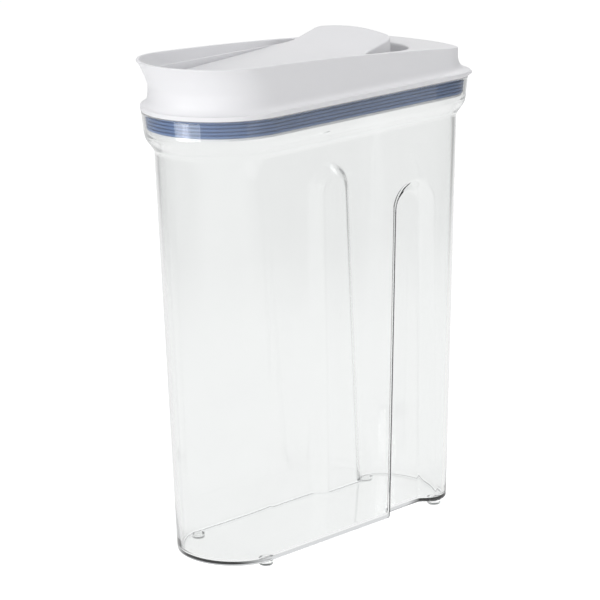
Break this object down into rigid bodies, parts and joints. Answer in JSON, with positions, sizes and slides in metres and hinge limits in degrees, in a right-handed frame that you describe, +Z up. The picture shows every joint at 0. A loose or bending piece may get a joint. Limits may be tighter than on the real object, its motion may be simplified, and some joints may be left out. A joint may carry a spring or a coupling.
{
  "type": "cereal container with flip spout",
  "caption": "Tall clear storage container with a rounded front, side grip recesses, a white press-on lid with a ribbed seal and a see-saw pouring flap.",
  "frame": {"origin": "centre of the overall footprint, on the plane that the feet stand on", "axes": "+Z up from the feet to the lid, -Y towards the rounded pouring front, +X across the narrow width"},
  "size_m": [0.093, 0.2348, 0.3035],
  "materials": {
    "clear_plastic": "water-clear, polished, moulded",
    "white_plastic": "fine satin, moulded",
    "liner_plastic": "matt, moulded",
    "seal_rubber": "satin silicone",
    "pin_steel": "drawn wire"
  },
  "bodies": {
    "container": {"container_body": "clear_plastic"},
    "lid": {"lid_shell": "white_plastic", "lid_liner": "liner_plastic", "lid_gasket": "seal_rubber", "hinge_axle": "pin_steel"},
    "flap": {"flap_cover": "white_plastic", "flap_inner_plate": "liner_plastic", "flap_seal": "seal_rubber"}
  },
  "joints": [
    {"name": "lid_lift", "type": "slide", "parent": "container", "child": "lid", "axis": [0, 0, 1], "range_m": [0, 0.06]},
    {"name": "flap_hinge", "type": "hinge", "parent": "lid", "child": "flap", "pos_m": [0, 0.018, 0.2875], "axis": [-1, 0, 0], "range_deg": [0, 32]}
  ]
}
